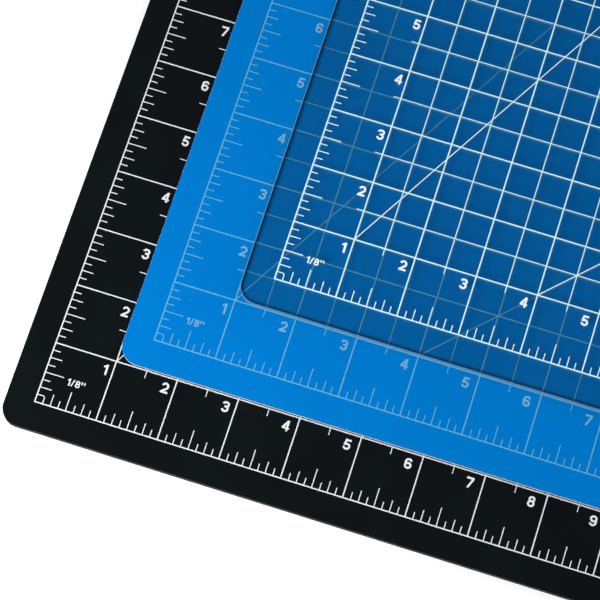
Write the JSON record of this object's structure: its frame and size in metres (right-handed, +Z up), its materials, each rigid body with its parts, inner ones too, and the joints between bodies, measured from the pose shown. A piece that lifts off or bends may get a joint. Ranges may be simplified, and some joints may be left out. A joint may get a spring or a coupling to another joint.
{
  "type": "self healing mat",
  "caption": "Flat laminated cutting mats with round corners and a printed inch grid with edge rulers and guide lines, fanned out one on another.",
  "frame": {"origin": "on the surface that the bottom mat lies on, under the centre of the fanned stack's box, which is also under the centre of the middle mat", "axes": "+X along the long scale of the mats, +Y along the short scale, +Z up out of the cutting faces"},
  "size_m": [0.3778, 0.3018, 0.0093],
  "materials": {
    "black_pvc": "fine matte moulded PVC, black",
    "black_core": "cut edge of a stiff black core",
    "blue_pvc": "fine matte moulded PVC, bright blue",
    "white_core": "cut edge of a stiff white core",
    "dark_back_pvc": "fine matte moulded PVC, near black",
    "smoke_pvc": "satin translucent PVC with a faint smoke tint",
    "white_ink": "screen printed white ink",
    "pale_ink": "screen printed thin white ink that the blue shows through"
  },
  "bodies": {
    "black_mat": {"black_bottom_skin": "black_pvc", "black_lower_cushion": "black_pvc", "black_core": "black_core", "black_upper_cushion": "black_pvc", "black_top_skin": "black_pvc", "black_grid_print": "white_ink", "black_number_print": "white_ink"},
    "blue_mat": {"blue_bottom_skin": "dark_back_pvc", "blue_lower_cushion": "dark_back_pvc", "blue_core": "white_core", "blue_upper_cushion": "blue_pvc", "blue_top_skin": "blue_pvc", "blue_grid_print": "pale_ink", "blue_number_print": "pale_ink"},
    "clear_mat": {"clear_sheet": "smoke_pvc", "clear_grid_print": "white_ink", "clear_number_print": "white_ink"}
  },
  "joints": [
    {"name": "blue_fan_slide", "type": "slide", "parent": "black_mat", "child": "blue_mat", "axis": [0.7062, 0.7081, 0], "range_m": [-0.05268, 0.05]},
    {"name": "clear_fan_slide", "type": "slide", "parent": "blue_mat", "child": "clear_mat", "axis": [0.7062, 0.7081, 0], "range_m": [-0.05268, 0.05]}
  ]
}
